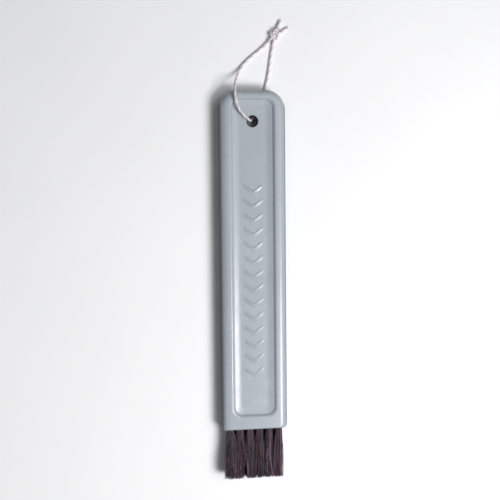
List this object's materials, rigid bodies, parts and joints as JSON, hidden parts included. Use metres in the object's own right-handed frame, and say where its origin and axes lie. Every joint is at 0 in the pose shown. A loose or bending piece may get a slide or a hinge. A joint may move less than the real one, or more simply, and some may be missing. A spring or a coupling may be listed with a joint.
{
  "type": "cleaning brush",
  "caption": "Flat moulded cleaning brush with a rimmed panel along its face, a hang hole with a thin knotted cord loop, and a straight-cut block of dark bristle tufts at its end.",
  "frame": {"origin": "centre of the brush's footprint without its cord, on the surface it lies on", "axes": "+Y along the handle towards the hang hole, +Z out of the front face with the raised marks, +X across"},
  "size_m": [0.0223, 0.1408, 0.0075],
  "materials": {
    "grey_plastic": "smooth moulded plastic, satin to gloss",
    "bristle": "dark purple-brown bristle",
    "anchor_metal": "plain flat wire, unpolished",
    "thread": "thin twisted thread with a light sheen"
  },
  "bodies": {
    "brush": {"handle": "grey_plastic", "tuft_front_1": "bristle", "tuft_front_2": "bristle", "tuft_front_3": "bristle", "tuft_front_4": "bristle", "tuft_front_5": "bristle", "tuft_front_6": "bristle", "tuft_back_1": "bristle", "tuft_back_2": "bristle", "tuft_back_3": "bristle", "tuft_back_4": "bristle", "tuft_back_5": "bristle", "anchor_front_1": "anchor_metal", "anchor_front_2": "anchor_metal", "anchor_front_3": "anchor_metal", "anchor_front_4": "anchor_metal", "anchor_front_5": "anchor_metal", "anchor_front_6": "anchor_metal", "anchor_back_1": "anchor_metal", "anchor_back_2": "anchor_metal", "anchor_back_3": "anchor_metal", "anchor_back_4": "anchor_metal", "anchor_back_5": "anchor_metal"},
    "hang_loop": {"hang_cord": "thread", "cord_knot": "thread", "cord_tail_a": "thread", "cord_tail_b": "thread"}
  },
  "joints": [
    {"name": "loop_swing", "type": "hinge", "parent": "brush", "child": "hang_loop", "pos_m": [0, 0.0501, 0.003], "axis": [0, 0, 1], "range_deg": [-90, 90]}
  ]
}
